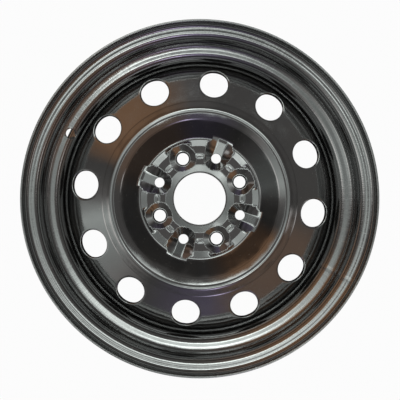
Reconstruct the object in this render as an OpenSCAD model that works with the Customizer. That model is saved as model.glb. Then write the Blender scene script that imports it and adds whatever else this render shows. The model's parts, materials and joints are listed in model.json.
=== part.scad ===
// Steel road wheel: a rolled drop-centre rim with a pressed disc welded into its well.
// The wheel lies on its inboard flange. +Z is the wheel's axis and points outboard,
// and the origin is on the axis, in the plane of the inboard lip.
// Every sheet section is an outline on one face of the metal, thickened to its back.

/* [Rim] */
// Diameter of the bead seats where they meet the flanges
bead_d = 380.2; // [360:0.1:460]
// Width between the flanges
rim_w = 152.4; // [127:0.1:190]
// Thickness of the rim sheet
rim_t = 2.5; // [2:0.1:3.2]
// Height of each flange above its bead seat
flange_h = 17.3; // [16.4:0.1:21]
// Width of each flange from its tyre face to its lip edge
flange_w = 13; // [10.5:0.1:16]
// Outside radius of the flange roll
flange_r = 9.5; // [7.5:0.1:10.2]
// Radius between flange and bead seat on the tyre side
seat_r = 6.5; // [5:0.1:7.5]
// Taper of the bead seats in degrees
seat_taper = 5; // [4:0.5:6]
// Distance from each flange to the top of its safety hump
hump_at = 20; // [18:0.5:24]
// Half width of the safety humps
hump_w = 4.6; // [4:0.1:5.6]
// Height of the safety humps above the bead seats
hump_h = 1.2; // [0.8:0.1:1.6]
// Radius at the foot of the safety humps on their flange side
hump_foot_round = 4; // [3:0.5:6]
// Radius over the top of the safety humps
hump_top_round = 5; // [3:0.5:6]
// Depth of the well below the bead seats
well_h = 19.1; // [17:0.1:23]
// Distance from the outboard flange to the start of the well floor
well_at = 32; // [31:0.5:41]
// Radius at the start of the well floor on the tyre side
well_r = 8; // [4:0.5:8]
// Radius between the outboard hump and the wall of the well
wall_round = 7; // [3:0.5:7]
// Radius at the inboard end of the well floor
ramp_foot_round = 12; // [8:0.5:14]
// Radius between the inboard hump and the ramp out of the well
ramp_top_round = 8; // [5:0.5:10]

/* [Valve hole] */
// Diameter of the valve hole
valve_d = 11.4; // [9.5:0.1:13.7]
// Width of the chamfer on its outboard edge
valve_chamfer = 0.9; // [0.5:0.1:1.2]
// Distance of the valve hole from the middle of the well wall towards the floor
valve_in = 3; // [0:0.1:3.5]
// Angle of the valve hole around the axis
valve_angle = 153; // [0:1:359]

/* [Disc] */
// Distance of the hub face outboard of the rim's mid-plane
wheel_offset = 23; // [15:0.5:28]
// Thickness of the disc sheet
disc_t = 3.6; // [3:0.1:4.4]
// Radius of the ridge line before it is rounded
ridge_r = 105.1; // [98:0.1:112]
// Height of the ridge line above the hub flat before it is rounded
ridge_h = 25.2; // [21:0.1:30]
// Radius that rounds the ridge
ridge_round = 12; // [9:0.5:14]
// Slope from the ridge down to the crease, in degrees
flank_slope = 28; // [24:0.5:34]
// Radius of the crease between the ridge and the vent band
crease_r = 120; // [116:0.5:124]
// Radius that rounds the crease
crease_round = 8; // [5:0.5:12]
// Slope of the vent band in degrees
vent_slope = 18; // [15:0.5:21]
// Radius of the shoulder between the vent band and the skirt
shoulder_r = 16; // [12:0.5:19]
// Length of the straight skirt that sits in the well
skirt_l = 23; // [19:0.5:28]

/* [Vents] */
// Number of vents
vent_n = 12; // [8:1:12]
// Diameter of each vent
vent_d = 35.6; // [29.5:0.1:38]
// Radius of the vents' centres
vent_at = 141.6; // [140:0.1:143]

/* [Hub] */
// Diameter of the centre bore
bore_d = 65.1; // [54:0.1:72]
// Chamfer on the edges of the centre bore
bore_chamfer = 0.5; // [0.3:0.1:0.8]
// Radial width of the collar that rises to the bore
collar_w = 10.4; // [8:0.1:12]
// Rise of the collar at the bore
collar_h = 2.8; // [2:0.1:3.6]
// Radius at the foot of the collar
collar_round = 4; // [2:0.5:6]
// Diameter of the bolt circle
pcd = 108; // [98:0.1:130]
// Distance from the bolt circle out to the edge of the hub flat
flat_margin = 12; // [10:0.1:14]
// Radial width of the bevel ring round the hub flat
bevel_w = 9.4; // [8:0.1:11]
// Rise of the bevel ring
bevel_h = 2.5; // [2:0.1:3.2]
// Radius at the inner edge of the bevel ring
bevel_in_round = 2; // [1:0.5:3]
// Radius at the outer edge of the bevel ring
bevel_out_round = 4; // [2:0.5:6]
// Angle of the first bolt hole around the axis
hub_angle = 22.9; // [0:0.1:89]

/* [Bolt seats] */
// Number of bolt holes, and of ribs between them
lug_n = 4; // [3:1:4]
// Diameter of each bolt hole
lug_d = 14.8; // [13:0.1:15.4]
// Diameter of each conical seat at its mouth
lug_seat_d = 17.6; // [16.6:0.1:18.2]
// Full angle of the conical seats
lug_seat_angle = 60; // [60:30:90]
// Diameter of each bolt boss at its foot
boss_d = 33.4; // [30:0.1:35]
// Diameter of each bolt boss at its top
boss_top_d = 19.4; // [18.8:0.1:21]
// Height of the bolt bosses above the hub flat
boss_h = 4.5; // [4:0.1:5.2]
// Radius round the foot of the bosses and rib ends
foot_round = 3; // [2:0.1:3.6]
// Radius round the top of the bosses and rib ends
top_round = 1; // [0.6:0.1:1.4]

/* [Ribs] */
// Diameter of the hole at the inner end of each rib
rib_hole_d = 12.2; // [11:0.1:13.4]
// Diameter of each rib's round inner end at its foot
rib_end_d = 32; // [30:0.1:34]
// Diameter of each rib's round inner end at its top
rib_end_top_d = 13; // [12.4:0.1:14]
// Width of the ribs at their foot
rib_w = 29; // [26:0.1:29.6]
// Slope of the ribs' sides in degrees
rib_side = 36.5; // [34:0.5:40]
// Height of the ribs above the hub flat at their holes
rib_h = 7; // [6:0.1:7.6]
// Height of the ribs at their lowest point
rib_dip_h = 6.1; // [5.4:0.1:6.4]
// Slope of the ribs from there up into the disc wall
rib_rise = 9; // [6:0.5:12]

/* [Fits and welds] */
// Gap between the disc skirt, its welds and the well
skirt_gap = 0.05; // [0.02:0.01:0.1]
// Room along the well floor past the welds
well_room = 5; // [3:0.5:8]
// Number of weld beads round the skirt
weld_n = 8; // [4:1:12]
// Angle that each weld bead covers
weld_arc = 27; // [15:1:28]
// Length of each weld bead along the well
weld_leg = 4; // [3:0.1:5]
// How far the face of each weld bead swells
weld_crown = 0.6; // [0.2:0.1:0.8]

/* [Hidden] */
$fn = 96;

black_paint = "#1c1c1d";
weld_paint = "#242424";

// Points along each round corner of a sheet section
corner_steps = 6;
// Rounding of the sheets' cut edges
edge_round = 0.6;
// How far raised forms are let into the sheet that carries them
embed = 0.4;
// Depth of a raised form's root below its foot
root = 1;
// How far cutting bodies run past the metal
past = 2;

// Rim sizes that follow from the driving ones
bead_r = bead_d / 2;
lip_r = bead_r + flange_h;
wheel_w = rim_w + 2 * flange_w;
taper = tan(seat_taper);
hump_r = bead_r - hump_at * taper + hump_h;
hump_foot = hump_at - hump_w;
hump_end = hump_at + hump_w;
floor_r = bead_r - well_h;
well_inner_r = floor_r - rim_t;

// Heights along the axis
hub_z = wheel_w / 2 + wheel_offset;
top_face = wheel_w - flange_w;
low_face = flange_w;

// Disc sizes, with heights from the front of the hub flat
bore_r = bore_d / 2;
hole_r = pcd / 2;
flat_r = hole_r + flat_margin;
wall_r = flat_r + bevel_w;
skirt_r = well_inner_r - skirt_gap;
crease_h = ridge_h - (crease_r - ridge_r) * tan(flank_slope);
corner_h = crease_h - (skirt_r - crease_r) * tan(vent_slope);
shoulder_drop = shoulder_r * tan((90 - vent_slope) / 2);
skirt_end_h = corner_h - shoulder_drop - skirt_l;
wall_slope = atan2(ridge_h - bevel_h, ridge_r - wall_r);
vent_h = crease_h - (vent_at - crease_r) * tan(vent_slope);
vent_cut_l = 2 * (disc_t + vent_d * tan(vent_slope) / 2 + past);
front_z = hub_z + disc_t;
skirt_end_z = front_z + skirt_end_h;

// The outboard wall of the well, from the hump down to the floor
lead_top = [bead_r - hump_end * taper, top_face - hump_end];
lead_foot = [floor_r, top_face - well_at];
lead_slope = atan2(lead_top[1] - lead_foot[1], lead_top[0] - lead_foot[0]);
valve_place = (lead_top + lead_foot) / 2 - valve_in * [cos(lead_slope), sin(lead_slope)];

// The rib's lowest point lies this far inside the foot of the disc wall
rib_dip_in = 2.5;
// How far a rib runs on into the wall's sheet, and its hollow on past the back of the wall
rib_bury = 1.4;
hollow_past = 5.9;
// Radial reach of a rib and of its hollow past the foot of the disc wall, from where each meets the wall
rib_closing = tan(wall_slope) - tan(rib_rise);
rib_meet = (rib_dip_h - bevel_h + rib_dip_in * tan(rib_rise)) / rib_closing;
hollow_meet = rib_meet + disc_t * (1 / cos(wall_slope) - 1) / rib_closing;
rib_reach = rib_meet + rib_bury;
hollow_reach = hollow_meet + hollow_past;

function unit(v) = v / norm(v);
function left(d) = [-d[1], d[0]];
function turned(d, a) = [d[0] * cos(a) - d[1] * sin(a), d[0] * sin(a) + d[1] * cos(a)];
function turn_between(a, b) = atan2(a[0] * b[1] - a[1] * b[0], a * b);
function flat2(p) = [p[0], p[1]];
function reversed(list) = [for (i = [len(list) - 1 : -1 : 0]) list[i]];

// One corner of a section, rounded: each entry is a point and the section's left-hand normal there
function round_corner(a, b, c) =
    let (
        d1 = unit(flat2(b) - flat2(a)),
        d2 = unit(flat2(c) - flat2(b)),
        bend = turn_between(d1, d2),
        side = sign(bend),
        r = b[2],
        start = flat2(b) - d1 * r * tan(abs(bend) / 2),
        centre = start + left(d1) * r * side
    )
    [for (k = [0 : corner_steps])
        let (n = left(turned(d1, bend * k / corner_steps)))
        [centre - n * r * side, n]];

// All the corners of a section between its two ends
function round_corners(path) =
    [for (i = [1 : len(path) - 2]) each round_corner(path[i - 1], path[i], path[i + 1])];

// The end of a sheet with both edges rounded, from its left face to its right face
function sheet_end(p, d, n, t) =
    let (e = edge_round, arc = [0, 45, 90])
    concat(
        [for (a = arc) p - d * e - n * e + n * e * cos(a) + d * e * sin(a)],
        [for (a = reversed(arc)) p - d * e - n * (t - e) - n * e * cos(a) + d * e * sin(a)]
    );

// Closed outline of a sheet: its left face follows the path and its thickness lies to the right
function sheet(path, t) =
    let (
        run = round_corners(path),
        last = len(path) - 1,
        d0 = unit(flat2(path[1]) - flat2(path[0])),
        d1 = unit(flat2(path[last]) - flat2(path[last - 1]))
    )
    concat(
        reversed(sheet_end(flat2(path[0]), -d0, left(d0), t)),
        [for (q = run) q[0]],
        sheet_end(flat2(path[last]), d1, left(d1), t),
        reversed([for (q = run) q[0] - q[1] * t])
    );

// Tyre side of the rim from the outboard lip to the inboard lip, as radius, height and corner radius
rim_path = [
    [lip_r, wheel_w],
    [lip_r, top_face, flange_r],
    [bead_r, top_face, seat_r],
    [bead_r - hump_foot * taper, top_face - hump_foot, hump_foot_round],
    [hump_r, top_face - hump_at, hump_top_round],
    [lead_top[0], lead_top[1], wall_round],
    [lead_foot[0], lead_foot[1], well_r],
    [floor_r, skirt_end_z - weld_leg - well_room, ramp_foot_round],
    [bead_r - hump_end * taper, low_face + hump_end, ramp_top_round],
    [hump_r, low_face + hump_at, hump_top_round],
    [bead_r - hump_foot * taper, low_face + hump_foot, hump_foot_round],
    [bead_r, low_face, seat_r],
    [lip_r, low_face, flange_r],
    [lip_r, 0]
];

// Outboard face of the disc from inside the bore to the end of the skirt
disc_path = [
    [bore_r - past, collar_h * (1 + past / collar_w)],
    [bore_r + collar_w, 0, collar_round],
    [flat_r, 0, bevel_in_round],
    [wall_r, bevel_h, bevel_out_round],
    [ridge_r, ridge_h, ridge_round],
    [crease_r, crease_h, crease_round],
    [skirt_r, corner_h, shoulder_r],
    [skirt_r, skirt_end_h]
];

// Places a child round the axis at a radius, with its own X axis pointing outward
module around(angle, radius) {
    rotate([0, 0, angle])
        translate([radius, 0, 0])
            children();
}

// A raised round form with a filleted foot and a softened top edge
module boss(foot_r, top_r, h) {
    slope = atan2(h + embed, foot_r - top_r);
    start_r = foot_r + foot_round * tan(slope / 2);
    outline = round_corners([
        [start_r + root, -embed],
        [foot_r, -embed, foot_round],
        [top_r, h, top_round],
        [0, h]
    ]);
    rotate_extrude()
        polygon([[0, -embed - root], [start_r, -embed - root], each [for (q = outline) q[0]], [0, h]]);
}

// The hollow behind a boss, which keeps the sheet's thickness
module boss_hollow(foot_r, top_r, h) {
    slope = atan2(h, foot_r - top_r);
    inset = disc_t * tan(slope / 2);
    rotate_extrude()
        polygon([
            [0, -disc_t - past],
            [foot_r - inset + past / tan(slope), -disc_t - past],
            [top_r - inset, h - disc_t],
            [0, h - disc_t]
        ]);
}

// Side view of a rib from its hole out into the disc wall, lowered by drop
module rib_side_view(drop, reach, foot) {
    dip_r = wall_r - rib_dip_in;
    end_r = wall_r + reach;
    polygon([
        [hole_r, rib_h - drop],
        [dip_r, rib_dip_h - drop],
        [end_r, rib_dip_h - drop + (end_r - dip_r) * tan(rib_rise)],
        each foot,
        [hole_r, foot[len(foot) - 1][1]]
    ]);
}

// Keeps what lies between a rib's two sloping sides, half_w apart at the hub flat
module between_sides(half_w) {
    tall = rib_h + disc_t + past;
    run = tall / tan(rib_side);
    intersection() {
        rotate([90, 0, 0])
            translate([0, 0, -half_w - run])
                linear_extrude(2 * (half_w + run))
                    children();
        rotate([90, 0, 90])
            linear_extrude(ridge_r)
                polygon([
                    [-half_w - run, -tall],
                    [half_w + run, -tall],
                    [half_w - run, tall],
                    [run - half_w, tall]
                ]);
    }
}

// A rib on the front of the disc, with its foot let into the sheet
module rib() {
    end_h = bevel_h + rib_reach * tan(wall_slope) - disc_t;
    between_sides(rib_w / 2)
        rib_side_view(0, rib_reach, [
            [wall_r + rib_reach, end_h],
            [wall_r, bevel_h - disc_t / 2],
            [flat_r, -disc_t / 2]
        ]);
}

// The hollow behind a rib
module rib_hollow() {
    between_sides(rib_w / 2 - disc_t / sin(rib_side))
        rib_side_view(disc_t, hollow_reach, [
            [wall_r + hollow_reach, -disc_t - past],
            [flat_r, -disc_t - past]
        ]);
}

// A bolt hole with its conical seat, the mouth at the top of the boss
module lug_hole() {
    seat_depth = (lug_seat_d - lug_d) / 2 / tan(lug_seat_angle / 2);
    translate([0, 0, -disc_t - past])
        cylinder(d = lug_d, h = disc_t + boss_h + 2 * past);
    translate([0, 0, boss_h - seat_depth])
        rotate_extrude()
            polygon([
                [0, 0],
                [lug_d / 2, 0],
                [lug_seat_d / 2, seat_depth],
                [lug_seat_d / 2, seat_depth + past],
                [0, seat_depth + past]
            ]);
}

// The centre bore with a chamfer at each edge of the collar
module bore_cut() {
    top = collar_h;
    low = collar_h - disc_t / cos(atan2(collar_h, collar_w));
    rotate_extrude()
        polygon([
            [0, low - past],
            [bore_r + bore_chamfer + past, low - past],
            [bore_r, low + bore_chamfer],
            [bore_r, top - bore_chamfer],
            [bore_r + bore_chamfer + past, top + past],
            [0, top + past]
        ]);
}

module rim() {
    color(black_paint)
        difference() {
            rotate_extrude()
                polygon(sheet(rim_path, rim_t));
            rotate([0, 0, valve_angle])
                translate([valve_place[0], 0, valve_place[1]])
                    rotate([0, -lead_slope, 0])
                        valve_cut();
        }
}

// The valve hole, square to the wall of the well, with its height from the tyre side
module valve_cut() {
    valve_reach = 2 * past;
    rotate_extrude()
        polygon([
            [0, -valve_reach],
            [valve_d / 2, -valve_reach],
            [valve_d / 2, rim_t - valve_chamfer],
            [valve_d / 2 + valve_chamfer + past, rim_t + past],
            [0, rim_t + past]
        ]);
}

module disc() {
    color(black_paint)
        translate([0, 0, front_z])
            difference() {
                union() {
                    rotate_extrude()
                        polygon(sheet(disc_path, disc_t));
                    for (i = [0 : lug_n - 1]) {
                        around(lug_angle(i), hole_r)
                            boss(boss_d / 2, boss_top_d / 2, boss_h);
                        around(rib_angle(i), hole_r)
                            boss(rib_end_d / 2, rib_end_top_d / 2, rib_h);
                        around(rib_angle(i), 0)
                            rib();
                    }
                }
                for (i = [0 : lug_n - 1]) {
                    around(lug_angle(i), hole_r) {
                        boss_hollow(boss_d / 2, boss_top_d / 2, boss_h);
                        lug_hole();
                    }
                    around(rib_angle(i), hole_r) {
                        boss_hollow(rib_end_d / 2, rib_end_top_d / 2, rib_h);
                        translate([0, 0, -disc_t - past])
                            cylinder(d = rib_hole_d, h = disc_t + rib_h + 2 * past);
                    }
                    around(rib_angle(i), 0)
                        rib_hollow();
                }
                for (i = [0 : vent_n - 1])
                    around(hub_angle + i * 360 / vent_n, vent_at)
                        translate([0, 0, vent_h])
                            rotate([0, vent_slope, 0])
                                cylinder(d = vent_d, h = vent_cut_l, center = true);
                bore_cut();
            }
}

// Bolt holes and ribs share the bolt circle in turn
function lug_angle(i) = hub_angle + i * 360 / lug_n;
function rib_angle(i) = hub_angle + (i + 0.5) * 360 / lug_n;

// Fillet welds between the end of the skirt and the well, with a crowned face
module weld_beads() {
    outer_r = well_inner_r - skirt_gap;
    inner_r = skirt_r - disc_t + edge_round;
    top_z = skirt_end_z - skirt_gap;
    foot_z = top_z - weld_leg;
    face_mid = [(inner_r + outer_r) / 2 - weld_crown, (top_z + foot_z) / 2 - weld_crown];
    color(weld_paint)
        for (i = [0 : weld_n - 1])
            rotate([0, 0, hub_angle + i * 360 / weld_n - weld_arc / 2])
                rotate_extrude(angle = weld_arc)
                    polygon([
                        [inner_r, top_z],
                        face_mid,
                        [outer_r, foot_z],
                        [outer_r, top_z]
                    ]);
}

rim();
disc();
weld_beads();
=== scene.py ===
# %% [markdown]
# # A pressed steel road wheel
# The wheel is two steel pressings and a weld: a rolled rim, a domed disc, and eight short beads
# between them, all dipped in the same semi-gloss black paint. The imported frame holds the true
# sizes. This lesson rebuilds the same sheets with much finer bends, because gloss paint shows
# every flat of a coarse mesh, and then paints them, lights them and looks down on them.

# %% Load the frame
import json
import math
from types import SimpleNamespace

import bmesh
import bpy
import numpy as np
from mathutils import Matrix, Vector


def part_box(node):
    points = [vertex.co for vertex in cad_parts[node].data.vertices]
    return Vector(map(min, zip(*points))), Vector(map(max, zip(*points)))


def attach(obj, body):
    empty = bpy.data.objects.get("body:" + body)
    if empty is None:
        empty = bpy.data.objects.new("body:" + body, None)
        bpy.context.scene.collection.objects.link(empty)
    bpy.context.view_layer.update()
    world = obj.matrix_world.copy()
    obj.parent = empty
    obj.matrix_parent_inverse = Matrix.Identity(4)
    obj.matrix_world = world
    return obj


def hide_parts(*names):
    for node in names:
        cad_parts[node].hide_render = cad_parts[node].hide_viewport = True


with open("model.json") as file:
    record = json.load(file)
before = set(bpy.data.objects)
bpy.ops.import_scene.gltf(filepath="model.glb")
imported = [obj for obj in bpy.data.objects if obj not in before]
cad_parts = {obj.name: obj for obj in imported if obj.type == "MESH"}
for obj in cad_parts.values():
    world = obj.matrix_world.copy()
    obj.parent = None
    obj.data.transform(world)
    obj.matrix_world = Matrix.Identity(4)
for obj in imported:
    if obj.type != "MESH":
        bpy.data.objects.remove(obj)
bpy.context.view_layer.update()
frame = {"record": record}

# %% [markdown]
# ## Sizes
# Everything below is worked out in millimetres and turned into metres only when a mesh is made.
# The outer sizes come from the frame's boxes and from the mounts of its record, so the visual
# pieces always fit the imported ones. The bends and slopes of the sheets are driving sizes.

# %% Sizes that the frame gives
MM = 0.001
rim_high = np.array(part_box("rim")[1]) / MM
disc_low, disc_high = (np.array(corner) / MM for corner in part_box("disc"))
mounts = {mount["name"]: mount for mount in frame["record"]["mounts"]}
lip_r = rim_high[0]
wheel_w = rim_high[2]
skirt_r = disc_high[0]
skirt_end = disc_low[2]
hub_back = mounts["hub_face"]["pos_m"][2] / MM
bore_r = mounts["centre_bore"]["dims"]["r_mm"]
hole_circle = mounts["wheel_bolts"]["dims"]["pcd_mm"] / 2
lug_hole_r = mounts["wheel_bolts"]["dims"]["hole_r_mm"]
rib_hole_r = mounts["rib_holes"]["dims"]["hole_r_mm"]
valve_r = mounts["valve_hole"]["dims"]["r_mm"]
valve_place = np.array(mounts["valve_hole"]["pos_m"]) / MM
valve_axis = np.array(mounts["valve_hole"]["axis"])
print("lip radius", round(lip_r, 2), "width", round(wheel_w, 2), "skirt radius", round(skirt_r, 2))

# %% [markdown]
# ## Bent sheet
# A pressing is a sheet of one thickness, so one outline on one of its faces says it all. The
# outline is a short list of corners, each with the radius of its bend. `bent_section` walks
# along it and returns many points, with the direction that the face looks in at each of them:
# the other face is then found by stepping back by the thickness.

# %% Outline of a bent sheet
ROUNDING = 1e-6


def unit(v):
    """The direction of v, with length one."""
    return v / np.linalg.norm(v)


def left_of(v):
    """The direction v turned left by a right angle."""
    return np.array([-v[1], v[0]])


def bent_section(corners, step_at, bend_step):
    """Points along a face: straight runs cut by step_at(radius), and an arc at each inner corner."""
    spots = [np.array(c[:2], float) for c in corners]
    points, normals = [], []
    start = spots[0]
    for i in range(1, len(spots)):
        along = unit(spots[i] - spots[i - 1])
        last = i == len(spots) - 1
        setback = 0.0
        if not last:
            after = unit(spots[i + 1] - spots[i])
            bend = math.atan2(along[0] * after[1] - along[1] * after[0], along @ after)
            radius = corners[i][2]
            setback = radius * math.tan(abs(bend) / 2)
        end = spots[i] - along * setback
        run = np.linalg.norm(end - start)
        pieces = math.ceil(run / step_at((start[0] + end[0]) / 2) - ROUNDING)
        for k in range(pieces):
            points.append(start + (end - start) * k / pieces)
            normals.append(left_of(along))
        if last:
            points.append(end)
            normals.append(left_of(along))
            break
        centre = end + left_of(along) * radius * np.sign(bend)
        turns = math.ceil(math.degrees(abs(bend)) / bend_step) + 1
        for k in range(turns):
            a = bend * k / turns
            n = left_of(np.array([along[0] * math.cos(a) - along[1] * math.sin(a),
                                  along[0] * math.sin(a) + along[1] * math.cos(a)]))
            points.append(centre - n * radius * np.sign(bend))
            normals.append(n)
        start = spots[i] + after * setback
    points, normals = np.array(points), np.array(normals)
    lengths = np.r_[0, np.cumsum(np.linalg.norm(np.diff(points, axis=0), axis=1))]
    return SimpleNamespace(s=lengths, r=points[:, 0], z=points[:, 1], nr=normals[:, 0], nz=normals[:, 1])


def revolved(section, s, angle, depth=0.0):
    """Places on a revolved sheet, depth below its outlined face."""
    r = np.interp(s, section.s, section.r) - depth * np.interp(s, section.s, section.nr)
    z = np.interp(s, section.s, section.z) - depth * np.interp(s, section.s, section.nz)
    return np.column_stack((r * np.cos(angle), r * np.sin(angle), z))


# %% [markdown]
# ## Round holes in a sheet
# Cutting holes with a boolean leaves long thin triangles, and gloss paint shows them as dents.
# Here a window is left out of the sheet's grid round each hole, and rings of quads lead from the
# window's border to the hole's edge. `sheet_layout` works only with the length along the section
# and the angle, so that one layout serves both faces of the sheet.

# %% Window round a hole
def hole_window(section, angle, r, slope, radius, rows, spread, rings):
    """A hole of that radius in the sheet, and the rows and the half angle of the window round it."""
    row0, row1 = (int(np.argmin(abs(section.s - s))) for s in rows)
    return SimpleNamespace(angle=angle, r=r, shrink=math.cos(slope), radius=radius,
                           row0=row0, row1=row1, spread=spread, rings=rings)


def edge_of_hole(section, window, across, along):
    """Section length and angle of the points on a hole's edge that lie in those directions."""
    phi = np.arctan2(across, along / window.shrink)
    x = window.r + window.radius * np.cos(phi) * window.shrink
    y = window.radius * np.sin(phi)
    part = slice(window.row0, window.row1 + 1)
    order = np.argsort(section.r[part])
    s = np.interp(np.hypot(x, y), section.r[part][order], section.s[part][order])
    return s, window.angle + np.arctan2(y, x)


def window_border(window, col0, col1):
    """Rows and columns of the grid points round a window."""
    low = [(window.row0, j) for j in range(col0, col1)]
    right = [(i, col1) for i in range(window.row0, window.row1)]
    high = [(window.row1, j) for j in range(col1, col0, -1)]
    left = [(i, col0) for i in range(window.row1, window.row0, -1)]
    return np.array(low + right + high + left).T


# %% Grid of a sheet with holes
def ring_of_quads(a, b):
    """Quads between two closed loops of as many points."""
    return [list(q) for q in zip(a, np.roll(a, -1), np.roll(b, -1), b)]


def sheet_layout(section, columns, first_angle, windows=()):
    """Section lengths and angles of all points, their quads, and the loops at ends and holes."""
    rows = len(section.s)
    turn = 2 * math.pi / columns
    cells = np.ones((rows - 1, columns), bool)
    kept = np.ones((rows, columns), bool)
    spans = []
    for w in windows:
        middle = round((w.angle - first_angle) / turn)
        half = round(w.spread / turn)
        spans.append((middle - half, middle + half))
        cols = np.arange(middle - half, middle + half) % columns
        cells[w.row0:w.row1, cols] = False
        kept[np.ix_(range(w.row0 + 1, w.row1), cols[1:])] = False
    number = np.full((rows, columns), -1)
    number[kept] = np.arange(kept.sum())
    row_of, col_of = np.nonzero(kept)
    s, angle = [section.s[row_of]], [first_angle + turn * col_of]
    quads = []
    for i, j in zip(*np.nonzero(cells)):
        k = (j + 1) % columns
        quads.append([number[i, j], number[i, k], number[i + 1, k], number[i + 1, j]])
    count = int(kept.sum())
    holes = []
    for w, (col0, col1) in zip(windows, spans):
        row, col = window_border(w, col0, col1)
        loop = number[row, col % columns]
        s0, a0 = section.s[row], first_angle + turn * col
        r0 = section.r[row]
        s1, a1 = edge_of_hole(section, w, r0 * np.sin(a0 - w.angle), r0 * np.cos(a0 - w.angle) - w.r)
        for k in range(1, w.rings + 1):
            share = k / w.rings
            s.append(s0 + (s1 - s0) * share)
            angle.append(a0 + (a1 - a0) * share)
            inner = np.arange(count, count + len(loop))
            quads += ring_of_quads(loop, inner)
            count += len(loop)
            loop = inner
        holes.append(loop)
    return SimpleNamespace(s=np.concatenate(s), angle=np.concatenate(angle), quads=quads,
                           holes=holes, ends=(number[0], number[-1]))


# %% [markdown]
# ## From layout to solid
# A sheet becomes a closed solid when its two faces are joined along every edge. A sheared or
# punched edge is never sharp, so each edge is a few rings of quads that turn round a small
# radius. `into` points from the edge out of the metal, and `down` from the front face to the
# back.

# %% Rounded edges
EDGE_STEPS = 4


def rounded_edge(radius, start=(0.0, 0.0)):
    """Steps round an edge, as pairs of how far out of the metal and how far down."""
    angles = np.linspace(0, math.pi / 2, EDGE_STEPS + 1)[1:]
    return [(start[0] + radius * math.sin(a), start[1] + radius * (1 - math.cos(a))) for a in angles]


def sheet_edge(loop, into, down, front_steps, back_steps):
    """An edge of a sheet: its loop of points, its directions and its steps from either face."""
    return SimpleNamespace(loop=loop, into=into, down=down, front=front_steps, back=back_steps)


# %% Closed sheet
def solid_object(name, points, quads):
    """A smooth-shaded object of those points in millimetres, with its faces turned outward."""
    mesh = bpy.data.meshes.new(name)
    mesh.from_pydata((np.asarray(points) * MM).tolist(), [], [[int(i) for i in q] for q in quads])
    work = bmesh.new()
    work.from_mesh(mesh)
    bmesh.ops.recalc_face_normals(work, faces=work.faces)
    work.to_mesh(mesh)
    work.free()
    mesh.shade_smooth()
    piece = bpy.data.objects.new(name, mesh)
    bpy.context.scene.collection.objects.link(piece)
    triangles = sum(len(p.vertices) - 2 for p in mesh.polygons)
    print(name, "has", len(mesh.vertices), "points and", triangles, "triangles")
    return piece


def sheet_solid(name, layout, front, back, edges):
    """Joins a sheet's two faces along its edges."""
    points = [front, back]
    quads = layout.quads + [[i + len(front) for i in q[::-1]] for q in layout.quads]
    count = 2 * len(front)
    for edge in edges:
        rings = [front[edge.loop] + edge.into * a + edge.down * b for a, b in edge.front]
        rings += [back[edge.loop] + edge.into * a - edge.down * b for a, b in reversed(edge.back)]
        loop = edge.loop
        for ring in rings:
            following = np.arange(count, count + len(ring))
            quads += ring_of_quads(loop, following)
            points.append(ring)
            count += len(ring)
            loop = following
        quads += ring_of_quads(loop, edge.loop + len(front))
    return solid_object(name, np.concatenate(points), quads)


# %% Directions
def outward(angle):
    """Unit steps away from the wheel's axis at those angles."""
    return np.column_stack((np.cos(angle), np.sin(angle), np.zeros_like(angle)))


def towards_axis(places, middle, axis):
    """Unit steps from places to the line through middle along axis."""
    gap = middle - places
    gap = gap - np.outer(gap @ axis, axis)
    return gap / np.linalg.norm(gap, axis=1)[:, None]


# %% [markdown]
# ## Rim
# The rim is rolled from strip: a flange and a tapered bead seat at each side, a low safety hump
# behind each seat, and a well in between. A lathe gives this shape at once. The valve hole sits
# in the outboard wall of the well, so one window there is all that keeps it from being a plain
# revolve.

# %% Rim outline
rim_t = 2.5
flange_h = 17.3
flange_w = 13.0
flange_round = 11.5
flange_lean = math.radians(11.5)
back_flange_lean = math.radians(16.5)
seat_round = 10.5
seat_taper = math.tan(math.radians(5))
hump_at = 20.0
hump_w = 4.6
hump_h = 1.2
hump_foot_round = 6.0
hump_top_round = 5.0
well_h = 19.1
well_at = 32.0
well_room = 9.0
well_round = 12.0
wall_top_round = 10.0
wall_bend_w = 10.6
wall_bend_slope = math.radians(21.6)
wall_bend_round = 20.0
back_wall_round = 8.0
lip_round = 0.9

flange_lift = flange_h / 2 * math.tan(flange_lean)
back_flange_lift = flange_h / 2 * math.tan(back_flange_lean)
bead_r = lip_r - flange_h
floor_r = bead_r - well_h
top_face = wheel_w - flange_w


def seat_r(distance):
    """Radius of a bead seat at a distance from its flange."""
    return bead_r - distance * seat_taper


wall_top = np.array([seat_r(hump_at + hump_w), top_face - hump_at - hump_w])
wall_foot = np.array([floor_r, top_face - well_at])
wall_bend = wall_foot + wall_bend_w * np.array([1.0, math.tan(wall_bend_slope)])
rim_corners = [
    (lip_r, wheel_w - lip_round),
    (lip_r, top_face + flange_lift, flange_round),
    (bead_r, top_face - flange_lift, seat_round),
    (seat_r(hump_at - hump_w), top_face - hump_at + hump_w, hump_foot_round),
    (seat_r(hump_at) + hump_h, top_face - hump_at, hump_top_round),
    (*wall_top, wall_top_round),
    (*wall_bend, wall_bend_round),
    (*wall_foot, well_round),
    (floor_r, skirt_end - well_room, well_round),
    (seat_r(hump_at + hump_w), flange_w + hump_at + hump_w, back_wall_round),
    (seat_r(hump_at) + hump_h, flange_w + hump_at, hump_top_round),
    (seat_r(hump_at - hump_w), flange_w + hump_at - hump_w, hump_foot_round),
    (bead_r, flange_w + back_flange_lift, seat_round),
    (lip_r, flange_w - back_flange_lift, flange_round),
    (lip_r, lip_round),
]
print("rim outline has", len(rim_corners) - 2, "bends")

# %% Rows of the rim
rim_row_step = 7.0
wall_row_step = 2.5
wall_rows_low, wall_rows_high = 174, 186
rim_bend_step = 6.0


def rim_step(r):
    """Rows lie closer in the wall of the well, which has the valve hole."""
    return wall_row_step if wall_rows_low < r < wall_rows_high else rim_row_step


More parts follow.
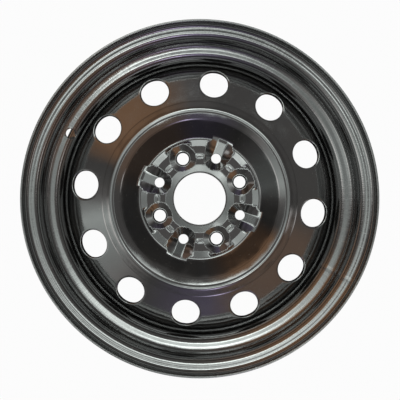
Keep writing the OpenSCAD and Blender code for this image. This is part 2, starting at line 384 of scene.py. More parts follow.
rim_section = bent_section(rim_corners, rim_step, rim_bend_step)
rim_inside = SimpleNamespace(s=rim_section.s, r=rim_section.r - rim_t * rim_section.nr,
                             z=rim_section.z - rim_t * rim_section.nz)
print("rim outline has", len(rim_section.s), "points")

# %% Valve hole window
rim_columns = 312
valve_chamfer = 0.9
valve_back_round = 0.4
valve_reach = 9.0
valve_rings = 4
valve_length = mounts["valve_hole"]["dims"]["length_mm"]
valve_angle = math.atan2(valve_place[1], valve_place[0])
wall_slope = math.atan2(wall_top[1] - wall_foot[1], wall_top[0] - wall_foot[0])
valve_mouth = valve_place + valve_axis * (valve_length / 2 + valve_chamfer)
valve_mouth_r = math.hypot(valve_mouth[0], valve_mouth[1])
valve_row = np.argmin(np.hypot(rim_inside.r - valve_mouth_r, rim_inside.z - valve_mouth[2]))
valve_s = rim_section.s[valve_row]
valve_window = hole_window(
    rim_inside, valve_angle, valve_mouth_r, wall_slope, valve_r + valve_chamfer,
    rows=(valve_s - valve_reach, valve_s + valve_reach),
    spread=valve_reach / valve_mouth_r, rings=valve_rings,
)
print("valve hole at radius", round(valve_mouth_r, 1), "angle", round(math.degrees(valve_angle), 1))

# %% Rim solid
rim_layout = sheet_layout(rim_inside, rim_columns, valve_angle, [valve_window])
tyre_face = revolved(rim_section, rim_layout.s, rim_layout.angle)
barrel_face = revolved(rim_section, rim_layout.s, rim_layout.angle, depth=rim_t)
UP = np.array([0.0, 0.0, 1.0])
rim_edges = []
for loop, into in zip(rim_layout.ends, (UP, -UP)):
    down = -outward(rim_layout.angle[loop])
    rim_edges.append(sheet_edge(loop, into, down, rounded_edge(lip_round), rounded_edge(lip_round)))
for loop in rim_layout.holes:
    into = towards_axis(tyre_face[loop], valve_mouth, valve_axis)
    step_in = (valve_chamfer - valve_back_round, 0.0)
    rim_edges.append(sheet_edge(loop, into, valve_axis,
                                [step_in, *rounded_edge(valve_back_round, step_in)],
                                rounded_edge(valve_chamfer)))
rim = sheet_solid("painted_rim", rim_layout, tyre_face, barrel_face, rim_edges)

# %% [markdown]
# ## Disc
# The disc is drawn from one round blank. From the bore outward it has a low collar, a flat that
# bolts to the hub, a bevel ring with a narrow land, a steep wall that eases over a ridge with two
# bends, a crease, the sloping band with the vents, and a wide shoulder that turns down into the
# skirt. That outline is revolved like the rim's.

# %% Disc outline
disc_t = 3.6
bore_round, bore_land, bore_land_round = 0.5, 1.7, 1.0
collar_w, collar_h, collar_foot_round = 10.4, 2.25, 4.0
flat_reach, flat_round = 12.0, 2.0
bevel_w, bevel_h, bevel_round = 7.7, 2.1, 1.5
wall_start_w, wall_start_round = 9.6, 4.8
wall_end_r, wall_end_round = 97.5, 14.0
ridge_in_r, ridge_in_round = 105.0, 2.2
ridge_in_slope = math.radians(25.4)
ridge_r, ridge_h, ridge_round = 109.2, 22.9, 12.0
ridge_lean = 0.2
flank_slope = math.radians(27)
crease_r, crease_round = 120.0, 14.0
vent_slope = math.radians(18)
shoulder_round = 21.0
skirt_round = 0.6

hub_front = hub_back + disc_t
flat_r = hole_circle + flat_reach
bevel_r = flat_r + bevel_w
wall_r = flat_r + wall_start_w
wall_h = ridge_h - ridge_lean - (ridge_in_r - wall_end_r) * math.tan(ridge_in_slope)
crease_h = ridge_h - (crease_r - ridge_r) * math.tan(flank_slope)
shoulder_h = crease_h - (skirt_r - crease_r) * math.tan(vent_slope)
disc_corners = [
    (bore_r + bore_round, hub_front + collar_h),
    (bore_r + bore_land, hub_front + collar_h, bore_land_round),
    (bore_r + collar_w, hub_front, collar_foot_round),
    (flat_r, hub_front, flat_round),
    (bevel_r, hub_front + bevel_h, bevel_round),
    (wall_r, hub_front + bevel_h, wall_start_round),
    (wall_end_r, hub_front + wall_h, wall_end_round),
    (ridge_in_r, hub_front + ridge_h - ridge_lean, ridge_in_round),
    (ridge_r, hub_front + ridge_h, ridge_round),
    (crease_r, hub_front + crease_h, crease_round),
    (skirt_r, hub_front + shoulder_h, shoulder_round),
    (skirt_r, skirt_end + skirt_round),
]
print("disc outline has", len(disc_corners) - 2, "bends")

# %% Rows of the disc
disc_row_step = 5.0
hub_row_step = 1.1
hub_rows_high = 80
disc_bend_step = 7.5


def disc_step(r):
    """Rows lie closer inside the wall, where the hub's raised forms are."""
    return hub_row_step if r < hub_rows_high else disc_row_step


disc_section = bent_section(disc_corners, disc_step, disc_bend_step)
print("disc outline has", len(disc_section.s), "points")

# %% [markdown]
# ## Raised forms of the hub
# The press also raises four bosses with conical bolt seats and four ribs that run from a round
# end out into the wall. Beside each of them the bevel ring drops away, which leaves the ring in
# pads, and a low swell stays between neighbours. Each form is a simple height: a cone falls away
# from its middle, and a rib falls away from its middle line. Taking the larger height where two
# forms meet joins them, with a blend that is tight at the foot and wider at the top.

# %% Sizes of the hub's forms
hub_angle = math.radians(22.9)
boss_n = 4
boss_turn = 2 * math.pi / boss_n
boss_r, boss_top_r, boss_h = 16.7, 9.4, 4.5
boss_stretch = 0.6
rib_end_r, rib_end_w, rib_wall_w, rib_strip_w, rib_h = 16.0, 14.4, 21.0, 5.6, 7.8
rib_dip_h = 5.6
rib_rise = math.tan(math.radians(2.5))
rib_flare_end = 2.0
bridge_r, bridge_h, bridge_w, bridge_l = 53.0, 0.9, 2.5, 4.8
boss_gap_w = 17.5
rib_gap_w = 19.0
gap_edge = 3.5
gap_rise = 2.8
gap_start = 2.0
boss_slope = boss_h / (boss_r - boss_top_r)
rib_slope = rib_h / (rib_end_w - rib_strip_w)
foot_blend = 0.03
top_blend = 0.4
dip_blend = 0.3
boss_steep, rib_steep = (math.degrees(math.atan(slope)) for slope in (boss_slope, rib_slope))
print("boss rises at", round(boss_steep, 1), "degrees, rib at", round(rib_steep, 1))

# %% Bosses and ribs as heights
def smooth_max(a, b, blend):
    """The larger of two heights, rounded over where they are nearly equal."""
    near = np.maximum(blend - np.abs(a - b), 0) / blend
    return np.maximum(a, b) + near * near * blend / 4


def smooth_min(a, b, blend):
    """The smaller of two heights, rounded over where they are nearly equal."""
    return -smooth_max(-a, -b, blend)


def boss_height(x, y, angle, inset):
    """A cone with a flat top, drawn out on its outer side."""
    along = x * math.cos(angle) + y * math.sin(angle) - hole_circle
    across = y * math.cos(angle) - x * math.sin(angle)
    beyond = np.maximum(along - boss_top_r, 0)
    away = np.hypot(along - beyond * (1 - boss_stretch), across)
    return smooth_min((boss_r - inset - away) * boss_slope, boss_h, top_blend)


def rib_height(x, y, angle, inset):
    """A ridge with an oval inner end, which widens and dips on its way to the wall."""
    along = x * math.cos(angle) + y * math.sin(angle) - hole_circle
    across = y * math.cos(angle) - x * math.sin(angle)
    away = np.hypot(np.minimum(along, 0) * rib_end_w / rib_end_r, across)
    reach = wall_r - hole_circle
    half_w = rib_end_w + (rib_wall_w - rib_end_w) * np.clip(along / reach, 0, rib_flare_end)
    fall = rib_h - (rib_h - rib_dip_h) * np.clip(along / reach, 0, 1)
    top = smooth_max(fall, rib_dip_h + (along - reach) * rib_rise, dip_blend)
    side = (half_w - inset - away) * top / (half_w - rib_strip_w)
    return smooth_min(side, top, top_blend)


# %% Gaps in the bevel, swells, and all forms together
def bevel_gap(x, y, flat, angle, half_w):
    """How far the bevel drops beside a boss or a rib, where only its steep outer edge is left."""
    r = np.hypot(x, y)
    along = x * math.cos(angle) + y * math.sin(angle)
    across = np.abs(y * math.cos(angle) - x * math.sin(angle))
    share = np.where(along > 0, np.clip((half_w - across) / gap_edge, 0, 1), 0)
    share = share * share * (3 - 2 * share)
    kept = bevel_h * np.clip(1 - (bevel_r - r) / gap_rise, 0, 1)
    on_bevel = (r > flat_r - gap_start) & (r < bevel_r)
    return share * np.where(on_bevel, np.clip(flat - kept, 0, bevel_h), 0)


def bridge_height(x, y, angle):
    """The low swell that is left between two neighbours."""
    along = (x * math.cos(angle) + y * math.sin(angle) - bridge_r) / bridge_w
    across = (y * math.cos(angle) - x * math.sin(angle)) / bridge_l
    return bridge_h * np.exp(-along ** 2 - across ** 4)


def hub_relief(places, inset_boss=0.0, inset_rib=0.0, sunk=0.0):
    """Lifts a disc face inside its ridge to the forms that stand out of it."""
    x, y, flat = places[:, 0], places[:, 1], places[:, 2] - hub_front
    height = flat
    for i in range(2 * boss_n):
        height = height + bridge_height(x, y, hub_angle + (i + 0.5) * boss_turn / 2)
    for i in range(boss_n):
        boss_angle = hub_angle + i * boss_turn
        rib_angle = hub_angle + (i + 0.5) * boss_turn
        height = height - bevel_gap(x, y, flat + sunk, boss_angle, boss_gap_w)
        height = height - bevel_gap(x, y, flat + sunk, rib_angle, rib_gap_w)
        height = smooth_max(height, boss_height(x, y, boss_angle, inset_boss) - sunk, foot_blend)
        height = smooth_max(height, rib_height(x, y, rib_angle, inset_rib) - sunk, foot_blend)
    height = np.where(np.hypot(x, y) < ridge_in_r, height, flat)
    return np.column_stack((x, y, height + hub_front))


# %% Windows for the hub holes and the vents
disc_columns = 312
edge_round = 0.4
vent_round = 1.3
seat_w = 1.2
seat_slope = math.radians(30)
seat_depth = seat_w / math.tan(seat_slope)
vent_circle = 142.7
vent_r = 17.5
vent_n = 12
hub_reach = 13.5
hub_spread = math.radians(18.75)
hub_rings = 10
vent_reach_in, vent_reach_out = 20.5, 20.0
vent_spread = math.radians(10)
vent_rings = 5


def section_at(section, r):
    """Section length at a radius of the disc."""
    return np.interp(r, section.r, section.s)


hub_rows = section_at(disc_section, np.array([hole_circle - hub_reach, hole_circle + hub_reach]))
vent_span = np.array([vent_circle - vent_reach_in, vent_circle + vent_reach_out])
vent_rows = section_at(disc_section, vent_span)
hub_windows, vent_windows = [], []
for i in range(2 * boss_n):
    edge_r = lug_hole_r + seat_w + edge_round if i % 2 == 0 else rib_hole_r + edge_round
    hub_windows.append(hole_window(disc_section, hub_angle + i * boss_turn / 2, hole_circle, 0.0,
                                   edge_r, hub_rows, hub_spread, hub_rings))
for i in range(vent_n):
    vent_windows.append(hole_window(disc_section, hub_angle + i * 2 * math.pi / vent_n, vent_circle,
                                    vent_slope, vent_r + vent_round, vent_rows, vent_spread, vent_rings))
disc_layout = sheet_layout(disc_section, disc_columns, hub_angle, hub_windows + vent_windows)
print("disc layout has", len(disc_layout.s), "points on each face")

# %% Disc solid
boss_inset = disc_t * math.tan(math.atan(boss_slope) / 2)
rib_inset = disc_t * math.tan(math.atan(rib_slope) / 2)
disc_front = hub_relief(revolved(disc_section, disc_layout.s, disc_layout.angle))
disc_back = hub_relief(revolved(disc_section, disc_layout.s, disc_layout.angle, depth=disc_t),
                       boss_inset, rib_inset, sunk=disc_t)


def hole_edge(loop, window, slope, front_steps, back_steps):
    """Edge of a hole whose axis leans outward by slope."""
    out = outward(np.array([window.angle]))[0]
    axis = math.sin(slope) * out + math.cos(slope) * UP
    middle = disc_front[loop].mean(axis=0)
    into = towards_axis(disc_front[loop], middle, axis)
    return sheet_edge(loop, into, -axis, front_steps, back_steps)


bore_loop, skirt_loop = disc_layout.ends
bore_steps = rounded_edge(bore_round)
skirt_steps = rounded_edge(skirt_round)
disc_edges = [
    sheet_edge(bore_loop, -outward(disc_layout.angle[bore_loop]), -UP, bore_steps, bore_steps),
    sheet_edge(skirt_loop, -UP, -outward(disc_layout.angle[skirt_loop]), skirt_steps, skirt_steps),
]
lug_front = [*rounded_edge(edge_round), (edge_round + seat_w, edge_round + seat_depth)]
lug_back = [(seat_w, 0.0), *rounded_edge(edge_round, (seat_w, 0.0))]
rib_steps = rounded_edge(edge_round)
vent_steps = rounded_edge(vent_round)
for i, (loop, window) in enumerate(zip(disc_layout.holes, hub_windows + vent_windows)):
    if i >= len(hub_windows):
        disc_edges.append(hole_edge(loop, window, vent_slope, vent_steps, vent_steps))
    elif i % 2 == 0:
        disc_edges.append(hole_edge(loop, window, 0.0, lug_front, lug_back))
    else:
        disc_edges.append(hole_edge(loop, window, 0.0, rib_steps, rib_steps))
disc = sheet_solid("painted_disc", disc_layout, disc_front, disc_back, disc_edges)

# %% [markdown]
# ## Crisp feet
# A press leaves a sharp foot round each boss and rib, finer than the grid. Normals averaged from
# the faces would smear it over two quads, and gloss paint would show that as a bright outline.
# The heights are known everywhere, so the normals of the hub's front come from their slopes.

# %% Normals of the hub's front
normal_step = 0.02
inner = disc_section.r < ridge_in_r


def hub_height(x, y):
    """Height of the disc's front at any place inside the ridge."""
    flat = np.interp(np.hypot(x, y), disc_section.r[inner], disc_section.z[inner])
    return hub_relief(np.column_stack((x, y, flat)))[:, 2]


normals = np.empty(3 * len(disc.data.vertices))
disc.data.vertex_normals.foreach_get("vector", normals)
normals = normals.reshape(-1, 3)
front_r = np.hypot(disc_front[:, 0], disc_front[:, 1])
on_hub = np.nonzero((front_r > bore_r + bore_land) & (front_r < wall_end_r))[0]
x, y = disc_front[on_hub, 0], disc_front[on_hub, 1]
slope_x = (hub_height(x + normal_step, y) - hub_height(x - normal_step, y)) / (2 * normal_step)
slope_y = (hub_height(x, y + normal_step) - hub_height(x, y - normal_step)) / (2 * normal_step)
steep = np.column_stack((-slope_x, -slope_y, np.ones(len(on_hub))))
normals[on_hub] = steep / np.linalg.norm(steep, axis=1)[:, None]
disc.data.normals_split_custom_set_from_vertices(normals.tolist())
print("normals of", len(on_hub), "points come from the heights")

# %% [markdown]
# ## Weld beads
# The disc is held by a fillet weld between the end of its skirt and the floor of the well, laid
# in eight short runs. A weld freezes in overlapping ripples, so each bead is a three-cornered
# section that swells and shrinks as it goes along its arc, with a thinner start and stop.

# %% Rippled beads
weld_n = 8
weld_arc = math.radians(27)
weld_leg = 4.0
weld_gap = 0.05
weld_steps = 96
weld_ripple = 2.2
weld_swell = 0.35
weld_crown = 0.6
weld_end_size = 0.35
weld_face_points = 7
weld_outer_r = floor_r - rim_t - weld_gap
weld_inner_r = skirt_r - disc_t + skirt_round
weld_top = skirt_end - weld_gap


def bead_points(first_angle):
    """Rings of a bead's section along its arc."""
    turn = np.linspace(0, weld_arc, weld_steps)
    run = turn * weld_outer_r
    ends = np.minimum(run, run[-1] - run)
    size = weld_end_size + (1 - weld_end_size) * np.sqrt(np.clip(ends / weld_leg, 0, 1))
    ripple = (run / weld_ripple) % 1.0
    swell = weld_crown + weld_swell * (np.sqrt(ripple) - 0.5)
    face = np.linspace(0, 1, weld_face_points)
    width = (weld_outer_r - weld_inner_r) * size[:, None]
    r = weld_outer_r - width * (1 - face) - swell[:, None] * np.sin(math.pi * face)
    z = weld_top - weld_leg * size[:, None] * face - swell[:, None] * np.sin(math.pi * face)
    r = np.column_stack((r, np.full(weld_steps, weld_outer_r)))
    z = np.column_stack((z, np.full(weld_steps, weld_top)))
    angle = (first_angle + turn)[:, None]
    return np.stack((r * np.cos(angle), r * np.sin(angle), z), axis=2)


bead_list, bead_quads, bead_count = [], [], 0
for i in range(weld_n):
    rings = bead_points(hub_angle + i * 2 * math.pi / weld_n - weld_arc / 2)
    width = rings.shape[1]
    ids = bead_count + np.arange(weld_steps * width).reshape(weld_steps, width)
    for a, b in zip(ids, ids[1:]):
        bead_quads += ring_of_quads(a, b)
    bead_quads += [list(ids[0]), list(ids[-1])]
    bead_list.append(rings.reshape(-1, 3))
    bead_count += weld_steps * width
beads = solid_object("weld_beads_rippled", np.concatenate(bead_list), bead_quads)

# %% [markdown]
# ## Paint in the joint
# The skirt is a press fit in the well, and its shoulder rolls away from the well in a narrow
# groove. Dip paint runs into such a groove and stays there, with a hollow top that shows as one
# fine line round the disc.

# %% Paint in the groove
joint_w = 0.9
joint_sag = 0.25
joint_depth = 3.0
joint_bite = 0.04
joint_points = 7
well_inside_r = floor_r - rim_t
beyond_crease = disc_section.s > section_at(disc_section, crease_r)
shoulder_gap = disc_section.r[beyond_crease] - well_inside_r
joint_z = np.interp(-joint_w, shoulder_gap, disc_section.z[beyond_crease])
across = np.linspace(0, 1, joint_points)
joint_r = well_inside_r - joint_w - joint_bite + (joint_w + 2 * joint_bite) * across
joint_r = np.r_[joint_r, well_inside_r]
joint_height = np.r_[joint_z - 4 * joint_sag * across * (1 - across), joint_z - joint_depth]
turn = np.linspace(0, 2 * math.pi, rim_columns, endpoint=False)[:, None]
joint_places = np.broadcast_arrays(joint_r * np.cos(turn), joint_r * np.sin(turn), joint_height)
rings = np.stack(joint_places, axis=2)
ids = np.arange(rings.shape[0] * rings.shape[1]).reshape(rings.shape[:2])
joint_quads = []
for a, b in zip(ids, np.roll(ids, -1, axis=0)):
    joint_quads += ring_of_quads(a, b)
joint = solid_object("joint_paint", rings.reshape(-1, 3), joint_quads)

# %% [markdown]
# ## Black paint
# The whole wheel is dipped in black primer that bakes to a semi-gloss. Up close it isn't one
# flat colour: the film has a fine orange-peel skin, it is slightly uneven where the sheet was
# drawn, its tone and gloss change from patch to patch, and specks of dust sit on it. The paint
# is a nearly black base under a clear coat, and each of these is a noise of its own size that
# drives the bump, the roughness or the colour. The rim's paint also shows the fine cross marks
# of rolling and the dressed butt weld where the ends of the strip were joined.

# %% Helpers for shader nodes
def add_node(tree, kind, inputs=None, **settings):
    """A new node with its settings, its plain input values and its links."""
    made = tree.nodes.new(kind)
    for name, value in settings.items():
        setattr(made, name, value)
    for name, value in (inputs or {}).items():
        if isinstance(value, bpy.types.NodeSocket):
            tree.links.new(value, made.inputs[name])
        else:
            made.inputs[name].default_value = value
    return made


def noise(tree, vector, scale, detail):
    """Values of a noise; scale says how many bumps it has along one unit of the vector."""
    made = add_node(tree, "ShaderNodeTexNoise", {"Vector": vector, "Scale": scale, "Detail": detail})
    return made.outputs["Fac"]


def remap(tree, value, low, high, to_low, to_high):
    """Stretches one range of values to another, and holds them at its ends."""
    made = add_node(tree, "ShaderNodeMapRange", {"Value": value, "From Min": low, "From Max": high,
                                                 "To Min": to_low, "To Max": to_high})
    return made.outputs["Result"]


def bump(tree, height, strength, distance, normal=None):
    """Normals of a height, on top of the normals of an earlier bump."""
    inputs = {"Height": height, "Strength": strength, "Distance": distance}
    if normal is not None:
        inputs["Normal"] = normal
    return add_node(tree, "ShaderNodeBump", inputs).outputs["Normal"]


def around_axis(tree, place, scale):
    """Coordinates that change only with the angle round the wheel, with no seam."""
    flat = add_node(tree, "ShaderNodeVectorMath", {0: place, 1: (1.0, 1.0, 0.0)}, operation="MULTIPLY")
    ring = add_node(tree, "ShaderNodeVectorMath", {0: flat.outputs[0]}, operation="NORMALIZE")
    wide = add_node(tree, "ShaderNodeVectorMath", {0: ring.outputs[0], "Scale": scale}, operation="SCALE")
    return wide.outputs[0]


def maths(tree, operation, *values):
    """Result of a Math node on one or two values."""
    return add_node(tree, "ShaderNodeMath", dict(enumerate(values)), operation=operation).outputs[0]


def reach_along(tree, place, way):
    """How far a place lies from the axis in a direction."""
    made = add_node(tree, "ShaderNodeVectorMath", {0: place, 1: way}, operation="DOT_PRODUCT")
    return made.outputs["Value"]


# %% Butt weld of the rim
SEAM_ANGLE = math.radians(-28.5)
SEAM_HALF_W = 0.004
SEAM_RAGGED = 0.0012
SEAM_RAGGED_SCALE = 260.0
SEAM_H = 0.0006


def seam_height(tree, place):
    """Height of the dressed butt weld of a rolled hoop, one at the line of the seam."""
    near = reach_along(tree, place, (math.cos(SEAM_ANGLE), math.sin(SEAM_ANGLE), 0.0))
    off = reach_along(tree, place, (-math.sin(SEAM_ANGLE), math.cos(SEAM_ANGLE), 0.0))
    ragged = noise(tree, place, SEAM_RAGGED_SCALE, detail=3.0)
    ragged = remap(tree, ragged, 0, 1, -SEAM_RAGGED, SEAM_RAGGED)
    off = maths(tree, "ABSOLUTE", maths(tree, "ADD", off, ragged))
    height = remap(tree, off, 0, SEAM_HALF_W, 1, 0)
    return maths(tree, "MULTIPLY", height, maths(tree, "GREATER_THAN", near, 0.0))


# %% Paint for the pressings and the welds
PAINT_BASE = (0.0055, 0.0055, 0.006, 1.0)
PAINT_WORN = (0.012, 0.011, 0.010, 1.0)
TONE_SCALE, TONE_FROM, TONE_TO = 28.0, 0.35, 0.75
DUST = (0.16, 0.15, 0.14, 1.0)
DUST_SCALE, DUST_FROM, DUST_TO, DUST_COVER = 520.0, 0.74, 0.80, 0.5
GLOSS_SCALE, GLOSS_FROM, GLOSS_TO = 60.0, 0.3, 0.7
ROUGH_LOW, ROUGH_HIGH = 0.05, 0.12
COAT_ROUGHNESS, COAT_IOR = 0.04, 1.5
PEEL_SCALE, PEEL_H = 700.0, 0.0004
DRAWN_SCALE, DRAWN_STRENGTH, DRAWN_H = 55.0, 0.06, 0.003
HATCH_SCALE, HATCH_H = 190.0, 0.0006


def black_paint(name, hatch=0.0, peel=0.05, ior=1.6, seam=0.0):
    """Semi-gloss black paint; hatch and seam are how strong rolling marks and a butt weld show."""
    paint = bpy.data.materials.new(name)
    paint.use_nodes = True
    tree = paint.node_tree
    shader = tree.nodes["Principled BSDF"]
    shader.inputs["Specular IOR Level"].default_value = 1.0
    shader.inputs["IOR"].default_value = ior
    shader.inputs["Coat Weight"].default_value = 1.0
    shader.inputs["Coat Roughness"].default_value = COAT_ROUGHNESS
    shader.inputs["Coat IOR"].default_value = COAT_IOR
    place = add_node(tree, "ShaderNodeTexCoord").outputs["Object"]
    patches = noise(tree, place, TONE_SCALE, detail=4.0)
    tone = add_node(tree, "ShaderNodeValToRGB", {"Fac": patches})
    tone.color_ramp.elements[0].position = TONE_FROM
    tone.color_ramp.elements[0].color = PAINT_BASE
    tone.color_ramp.elements[1].position = TONE_TO
    tone.color_ramp.elements[1].color = PAINT_WORN
    specks = noise(tree, place, DUST_SCALE, detail=1.0)
    specks = remap(tree, specks, DUST_FROM, DUST_TO, 0.0, DUST_COVER)
    dusty = add_node(tree, "ShaderNodeMix", {"Factor": specks, "A": tone.outputs["Color"], "B": DUST},
                     data_type="RGBA")
    tree.links.new(dusty.outputs["Result"], shader.inputs["Base Color"])
    sheen = noise(tree, place, GLOSS_SCALE, detail=6.0)
    rough = remap(tree, sheen, GLOSS_FROM, GLOSS_TO, ROUGH_LOW, ROUGH_HIGH)
    tree.links.new(rough, shader.inputs["Roughness"])
    skin = bump(tree, noise(tree, place, PEEL_SCALE, detail=2.0), peel, PEEL_H)
    skin = bump(tree, noise(tree, place, DRAWN_SCALE, detail=1.0), DRAWN_STRENGTH, DRAWN_H, skin)
    if hatch:
        marks = noise(tree, around_axis(tree, place, HATCH_SCALE), scale=1.0, detail=3.0)
        skin = bump(tree, marks, hatch, HATCH_H, skin)
    if seam:
        skin = bump(tree, seam_height(tree, place), seam, SEAM_H, skin)
    tree.links.new(skin, shader.inputs["Normal"])
    return paint


rim.data.materials.append(black_paint("rim black paint", hatch=0.25, ior=1.75, seam=0.5))
disc.data.materials.append(black_paint("disc black paint"))
beads.data.materials.append(black_paint("weld black paint", peel=0.15))
joint.data.materials.append(disc.data.materials[0])
for piece, node, slot in ((rim, "rim", "rim_paint"), (disc, "disc", "disc_paint"),
                          (beads, "weld_beads", "weld_paint"), (joint, None, "disc_paint")):
    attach(piece, "root")
    if node:
        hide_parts(node)
print("painted", [material.name for material in bpy.data.materials])

# %% [markdown]
# ## Camera
# The photograph looks almost straight down the axis at the outboard face, from near enough that
# the vents, which lie deeper than the lip, look smaller than they are. The picture is square,
# so the lens follows from the distance and from how much of the frame the lip fills.

# %% Camera above the face
SENSOR = 36.0
FRAME_PIXELS = 400.0
lip_pixels = 179.95
camera_height = 715.0
camera_shift = np.array([-4.0, 17.5])
focal_pixels = lip_pixels * camera_height / lip_r
camera_data = bpy.data.cameras.new("face_camera")
camera_data.sensor_width = SENSOR
camera_data.lens = focal_pixels * SENSOR / FRAME_PIXELS
camera = bpy.data.objects.new("face_camera", camera_data)
bpy.context.scene.collection.objects.link(camera)
camera.location = (camera_shift[0] * MM, camera_shift[1] * MM, (wheel_w + camera_height) * MM)
tip_back = -math.atan2(camera_shift[1], camera_height)
tip_aside = math.atan2(camera_shift[0], camera_height)
camera.rotation_euler = (tip_back, tip_aside, 0.0)
bpy.context.scene.camera = camera
print("lens", round(camera_data.lens, 2), "mm")

# %% [markdown]
# ## Floor
# The wheel lies on a white floor. A sheet lit until it is white would need lamps that wash out
# the paint. Here the floor gives a white light of its own to the camera only. A small share of
# matt grey takes the wheel's shadow, which is too faint to be seen in so much white.

# %% White floor
FLOOR_SIZE = 8.0
FLOOR_WHITE = 0.97
FLOOR_GREY = (0.08, 0.08, 0.08, 1.0)
WHITE = (1.0, 1.0, 1.0, 1.0)
floor_mesh = bpy.data.meshes.new("floor")
half = FLOOR_SIZE / 2
floor_corners = [(-half, -half, 0), (half, -half, 0), (half, half, 0), (-half, half, 0)]
floor_mesh.from_pydata(floor_corners, [], [(0, 1, 2, 3)])
floor = bpy.data.objects.new("floor", floor_mesh)
bpy.context.scene.collection.objects.link(floor)
floor_paint = bpy.data.materials.new("white floor")
floor_paint.use_nodes = True
tree = floor_paint.node_tree
tree.nodes.clear()
seen = add_node(tree, "ShaderNodeLightPath").outputs["Is Camera Ray"]
share = maths(tree, "MULTIPLY", seen, FLOOR_WHITE)
matt = add_node(tree, "ShaderNodeBsdfDiffuse", {"Color": FLOOR_GREY}).outputs[0]
glow = add_node(tree, "ShaderNodeEmission", {"Color": WHITE, "Strength": 1.0}).outputs[0]
mixed = add_node(tree, "ShaderNodeMixShader", {"Fac": share, 1: matt, 2: glow})
add_node(tree, "ShaderNodeOutputMaterial", {"Surface": mixed.outputs[0]})
floor_mesh.materials.append(floor_paint)
print("floor", FLOOR_SIZE, "m")

# %% [markdown]
# ## Studio light
# Black gloss paint has almost no colour of its own, so what it mirrors draws the wheel's shape.
# Single lamps would show in it as spots. The studio is a dome of rings round the wheel's axis
# instead: dim straight overhead, where the camera is, bright in the next rings, and dim and warm
# lower down, with a narrow ring of panels there. Each table lists degrees round the wheel, how
# strong the light is there, and its tint. The background is white to the camera only.

# %% Light of each ring
COOL = (0.93, 1.0, 0.965)
PLAIN = (1.0, 0.97, 0.94)
BROWN = (1.45, 0.82, 0.46)
TAN = (1.25, 0.84, 0.62)
PURPLE = (1.0, 0.88, 1.25)
CAP_LIGHT = 0.37
DIM = (0.22, 0.22, 0.22, 1.0)
UPPER_LIGHT = [
    (-180, 0.85, COOL), (-150, 0.65, COOL), (-115, 0.4, COOL), (-80, 0.4, COOL), (-45, 0.5, COOL),
    (-15, 0.65, COOL), (0, 1.1, COOL), (20, 2.2, COOL), (45, 2.8, COOL), (90, 2.2, COOL),
    (112, 2.8, COOL), (138, 2.8, COOL), (155, 1.5, COOL), (180, 0.95, COOL),
]
KEY_LIGHT = [
    (-180, 1.7, COOL), (-155, 1.4, COOL), (-143, 4.6, COOL), (-127, 4.6, COOL), (-119, 1.0, COOL),
    (-105, 0.9, COOL), (-98, 2.9, COOL), (-82, 2.9, COOL), (-76, 1.6, COOL), (-65, 4.8, COOL),
    (-54, 4.6, COOL), (-48, 3.3, COOL), (-40, 3.3, COOL), (-28, 3.0, COOL), (-14, 1.4, COOL),
    (0, 0.85, COOL), (45, 0.7, COOL), (90, 0.8, COOL), (100, 1.4, COOL), (107, 4.6, COOL),
    (122, 4.8, COOL), (129, 1.9, COOL), (141, 1.9, COOL), (150, 2.4, COOL), (165, 1.7, COOL),
    (180, 1.7, COOL),
]
MIDDLE_LIGHT = [
    (-180, 0.7, COOL), (-135, 0.65, COOL), (-105, 0.9, COOL), (-75, 1.1, COOL), (-58, 1.2, COOL),
    (-45, 1.5, COOL), (-30, 0.95, COOL), (-10, 0.9, COOL), (15, 1.35, COOL), (30, 2.0, COOL),
    (45, 4.6, COOL), (60, 3.0, COOL), (75, 2.6, COOL), (90, 3.2, COOL), (105, 2.9, COOL),
    (120, 2.1, COOL), (135, 2.0, COOL), (150, 1.25, COOL), (165, 0.85, COOL), (180, 0.7, COOL),
]
EDGE_LIGHT = [
    (-180, 0.75, COOL), (-135, 0.7, COOL), (-110, 2.0, COOL), (-90, 4.8, COOL), (-62, 8.0, COOL),
    (-45, 2.0, COOL), (-15, 0.9, COOL), (10, 1.2, COOL), (30, 1.9, COOL), (50, 2.6, COOL),
    (75, 7.0, COOL), (98, 10.0, COOL), (115, 6.0, COOL), (135, 2.4, COOL), (155, 1.2, COOL),
    (180, 0.75, COOL),
]
LOWER_LIGHT = [
    (-180, 0.5, PLAIN), (-168, 1.7, COOL), (-150, 1.1, COOL), (-135, 0.75, PLAIN),
    (-120, 0.22, PLAIN), (-100, 0.28, PURPLE), (-85, 0.34, PURPLE), (-70, 0.36, TAN),
    (-50, 0.42, TAN), (-25, 0.4, TAN), (-8, 0.26, PLAIN), (75, 0.26, PLAIN), (95, 0.36, PLAIN),
    (115, 0.5, BROWN), (135, 0.58, BROWN), (152, 0.5, BROWN), (162, 0.22, PLAIN), (172, 0.3, PLAIN),
    (180, 0.5, PLAIN),
]
GAP_LIGHT = [
    (-180, 0.3, PLAIN), (-170, 3.0, PLAIN), (-150, 2.6, PLAIN), (-140, 0.4, PLAIN),
    (-120, 0.15, PLAIN), (-96, 0.2, PURPLE), (-89, 1.0, PURPLE), (-80, 3.8, PURPLE),
    (-72, 0.8, PURPLE), (-62, 0.2, TAN), (-24, 0.2, TAN), (-18, 2.0, PLAIN), (-12, 2.0, PLAIN),
    (-6, 0.16, PLAIN), (90, 0.18, PLAIN), (115, 0.26, BROWN), (150, 0.26, BROWN),
    (165, 0.15, PLAIN), (180, 0.3, PLAIN),
]
HORIZON_LIGHT = [
    (-180, 0.52, PLAIN), (-150, 0.52, COOL), (-100, 0.44, COOL), (-70, 0.38, PURPLE),
    (-25, 0.42, TAN), (0, 0.48, COOL), (80, 0.48, COOL), (110, 0.56, TAN), (150, 0.66, BROWN),
    (170, 0.56, TAN), (180, 0.52, PLAIN),
]
print("the key ring goes up to a light of", max(level for degrees, level, tint in KEY_LIGHT))

# %% Helpers for the dome
DOME_STRENGTH = 4.0


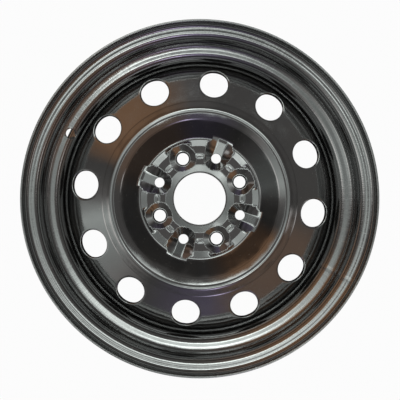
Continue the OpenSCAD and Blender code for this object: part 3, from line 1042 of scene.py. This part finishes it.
def fill_ramp(ramp, stops):
    """Sets a colour ramp to pairs of position and colour."""
    while len(ramp.elements) < len(stops):
        ramp.elements.new(0.5)
    for element, (position, colour) in zip(ramp.elements, stops):
        element.position = position
        element.color = (*colour, 1.0)


def ring_light(tree, turn, stops):
    """Light that changes round the wheel, from stops of degrees, level and tint."""
    ring = add_node(tree, "ShaderNodeValToRGB", {"Fac": turn})
    fill_ramp(ring.color_ramp, [((degrees + 180) / 360, [level * part / DOME_STRENGTH for part in tint])
                                for degrees, level, tint in stops])
    return ring.outputs["Color"]


def below(tree, tilt, light, lower_light, first, last):
    """Goes over from one light to the next between two angles from straight up."""
    share = remap(tree, tilt, math.radians(first), math.radians(last), 0, 1)
    lights = {"Factor": share, "A": light, "B": lower_light}
    return add_node(tree, "ShaderNodeMix", lights, data_type="RGBA").outputs["Result"]


# %% Studio dome
UNEVEN, UNEVEN_SCALE = 0.12, 3.0
world = bpy.data.worlds.new("studio")
bpy.context.scene.world = world
world.use_nodes = True
tree = world.node_tree
tree.nodes.clear()
sky = add_node(tree, "ShaderNodeTexCoord").outputs["Generated"]
way = add_node(tree, "ShaderNodeSeparateXYZ", {0: sky})
uneven = remap(tree, noise(tree, sky, UNEVEN_SCALE, detail=5.0), 0, 1, -UNEVEN, UNEVEN)
tilt = maths(tree, "ADD", maths(tree, "ARCCOSINE", way.outputs["Z"]), uneven)
turn = maths(tree, "ARCTAN2", way.outputs["Y"], way.outputs["X"])
turn = remap(tree, turn, -math.pi, math.pi, 0, 1)
lower = ring_light(tree, turn, LOWER_LIGHT)
dim = add_node(tree, "ShaderNodeMix", {"Factor": 1.0, "A": lower, "B": DIM},
               data_type="RGBA", blend_type="MULTIPLY").outputs["Result"]
# Each light takes over from the one before it between two angles, in degrees from straight up.
dome_rings = [
    (ring_light(tree, turn, UPPER_LIGHT), 9, 13),
    (ring_light(tree, turn, KEY_LIGHT), 18, 21),
    (ring_light(tree, turn, MIDDLE_LIGHT), 26, 29),
    (ring_light(tree, turn, EDGE_LIGHT), 33.5, 35.5),
    (lower, 38, 41),
    (ring_light(tree, turn, GAP_LIGHT), 51, 54),
    (lower, 58, 61),
    (dim, 63.5, 67),
    (ring_light(tree, turn, HORIZON_LIGHT), 76, 82),
]
light = (*[part * CAP_LIGHT / DOME_STRENGTH for part in PLAIN], 1.0)
for next_light, first, last in dome_rings:
    light = below(tree, tilt, light, next_light, first, last)
dome = add_node(tree, "ShaderNodeBackground", {"Color": light, "Strength": DOME_STRENGTH}).outputs[0]
white = add_node(tree, "ShaderNodeBackground", {"Color": WHITE, "Strength": 1.0}).outputs[0]
seen = add_node(tree, "ShaderNodeLightPath").outputs["Is Camera Ray"]
both = add_node(tree, "ShaderNodeMixShader", {"Fac": seen, 1: dome, 2: white})
add_node(tree, "ShaderNodeOutputWorld", {"Surface": both.outputs[0]})
bpy.context.scene.view_settings.view_transform = "Standard"
print("dome with", len(dome_rings) + 1, "rings of light")
